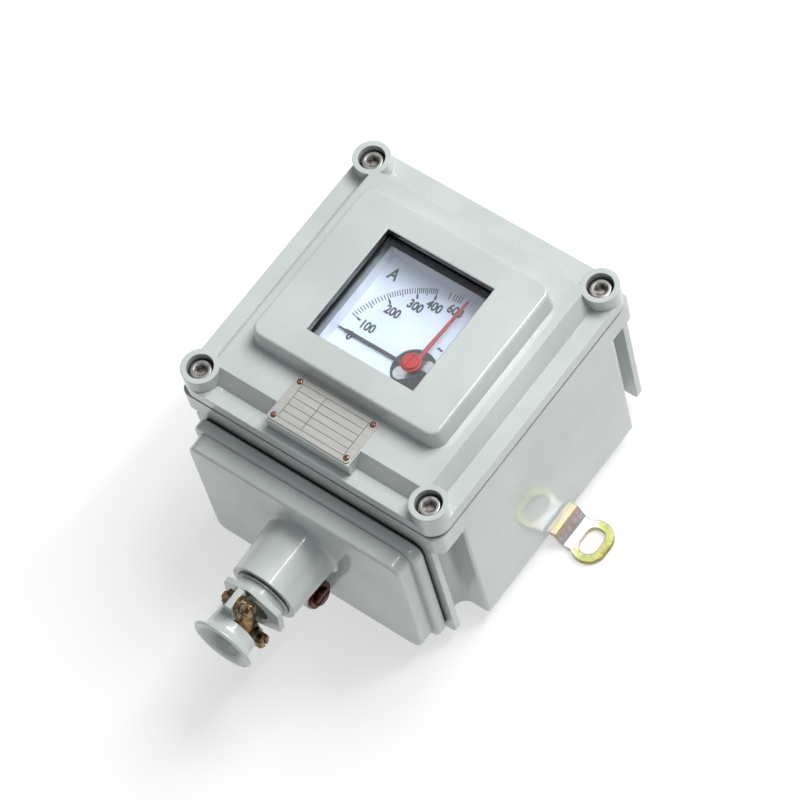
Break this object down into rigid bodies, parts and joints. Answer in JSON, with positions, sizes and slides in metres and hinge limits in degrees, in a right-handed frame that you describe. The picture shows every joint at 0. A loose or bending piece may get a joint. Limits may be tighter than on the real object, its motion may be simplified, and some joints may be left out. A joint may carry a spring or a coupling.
{
  "type": "explosion-proof ammeter",
  "caption": "Panel ammeter with settable index pointer in a cast explosion-proof box with a window lid, cable gland and wall lugs.",
  "frame": {"origin": "on the wall plane, midway between the slots of the two wall lugs", "axes": "+X to the right of the dial, +Y up the dial away from the gland, +Z out of the wall through the lid"},
  "size_m": [0.1912, 0.2173, 0.125],
  "materials": {
    "enamel": "semi-gloss grey-green enamel on cast aluminium",
    "steel": "plain steel",
    "yellow_zinc": "yellow zinc plating",
    "rubber": "matt black rubber",
    "glass": "clear float glass",
    "clear_plastic": "clear moulded plastic",
    "label_metal": "satin aluminium sheet",
    "copper": "copper",
    "white_plastic": "white moulding",
    "dial_white": "white printed sheet",
    "black_plastic": "black moulding",
    "coil_copper": "enamelled copper wire",
    "bridge_metal": "bright pressed metal",
    "pointer_black": "black lacquer",
    "red_plastic": "red moulding",
    "brass": "turned brass",
    "ceramic_white": "cream moulding"
  },
  "bodies": {
    "box": {"housing": "enamel", "lid": "enamel", "lid_gasket": "rubber", "lid_screws": "steel", "lid_screw_washers": "steel", "window_glass": "glass", "glass_seal": "rubber", "glass_frame": "steel", "glass_frame_screws": "steel", "nameplate": "label_metal", "nameplate_rivets": "copper", "meter_cover": "clear_plastic", "dial_surround": "white_plastic", "dial_plate": "dial_white", "meter_base": "black_plastic", "coil_frame": "black_plastic", "coil": "coil_copper", "movement_bridge": "bridge_metal", "meter_studs": "steel", "meter_stud_nuts": "steel", "meter_bracket": "steel", "bracket_screws": "steel", "meter_terminals": "brass", "terminal_washers": "brass", "terminal_nuts": "brass", "terminal_block": "ceramic_white", "block_screws": "steel", "inner_earth_screw": "yellow_zinc", "entry_gasket": "rubber", "entry_plate": "enamel", "entry_cover": "enamel", "entry_screws": "steel", "seal_ring": "rubber", "gland_washer": "steel", "gland_nut": "enamel", "cord_clamp": "yellow_zinc", "clamp_screws": "yellow_zinc", "clamp_spring_washers": "steel", "clamp_washers": "yellow_zinc", "clamp_nuts": "yellow_zinc", "earth_washer": "copper", "earth_screw": "copper", "wall_lug_right": "yellow_zinc", "wall_lug_left": "yellow_zinc", "lug_washers": "steel", "lug_screws": "steel"},
    "needle": {"pointer": "pointer_black"},
    "index": {"index_pointer": "red_plastic", "index_knob": "red_plastic"}
  },
  "joints": [
    {"name": "needle_turn", "type": "hinge", "parent": "box", "child": "needle", "pos_m": [0.0145, -0.0112, 0.1046], "axis": [0, 0, -1], "range_deg": [0, 90], "stiffness_Nm_per_rad": 0.00001},
    {"name": "index_turn", "type": "hinge", "parent": "box", "child": "index", "pos_m": [0.0145, -0.0112, 0.1085], "axis": [0, 0, 1], "range_deg": [-2, 92]}
  ]
}
